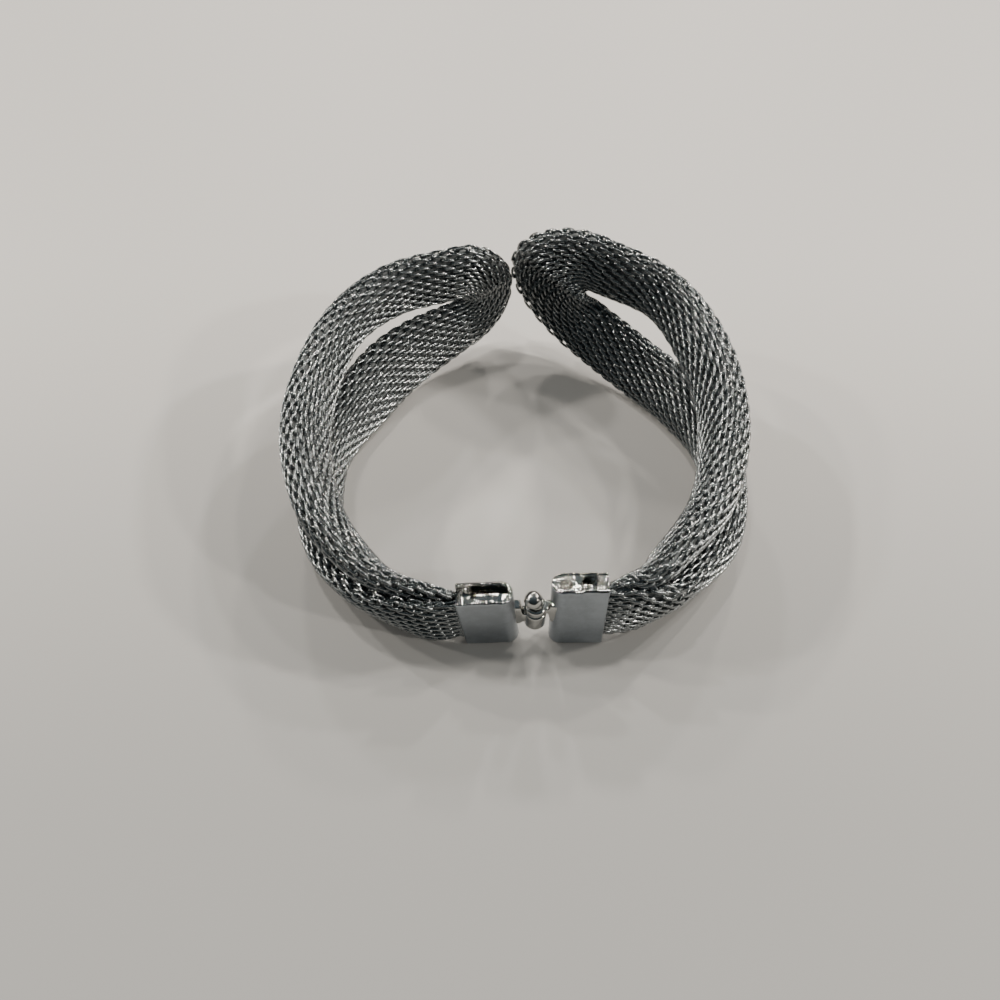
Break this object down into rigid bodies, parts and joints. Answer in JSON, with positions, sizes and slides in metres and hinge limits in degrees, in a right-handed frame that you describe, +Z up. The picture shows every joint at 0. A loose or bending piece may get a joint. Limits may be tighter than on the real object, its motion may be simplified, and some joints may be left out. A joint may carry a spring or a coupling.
{
  "type": "mesh bracelet",
  "caption": "Woven wire mesh bracelet of two doubled-back tubes, pressed into two polished end caps that turn on an upright ball-topped hinge pin.",
  "frame": {"origin": "on the table under the middle of the whole bracelet as it lies on its side", "axes": "+Z up, through the wrist opening; -Y towards the hinge at the front, +Y towards the two free loops; +X right as seen from the front"},
  "size_m": [0.0709, 0.0664, 0.0234],
  "materials": {
    "wire_mesh": "woven gunmetal wire, bright on the high coils",
    "polished_cap": "polished plate with soft wear and uneven solder",
    "pin": "polished"
  },
  "bodies": {
    "left_half": {"left_mesh": "wire_mesh", "left_end_cap": "polished_cap"},
    "right_half": {"right_mesh": "wire_mesh", "right_end_cap": "polished_cap", "hinge_pin": "pin"}
  },
  "joints": [
    {"name": "hinge", "type": "hinge", "parent": "left_half", "child": "right_half", "pos_m": [0.00201, -0.03087, 0.0066], "axis": [0, 0, -1], "range_deg": [0, 45]}
  ]
}
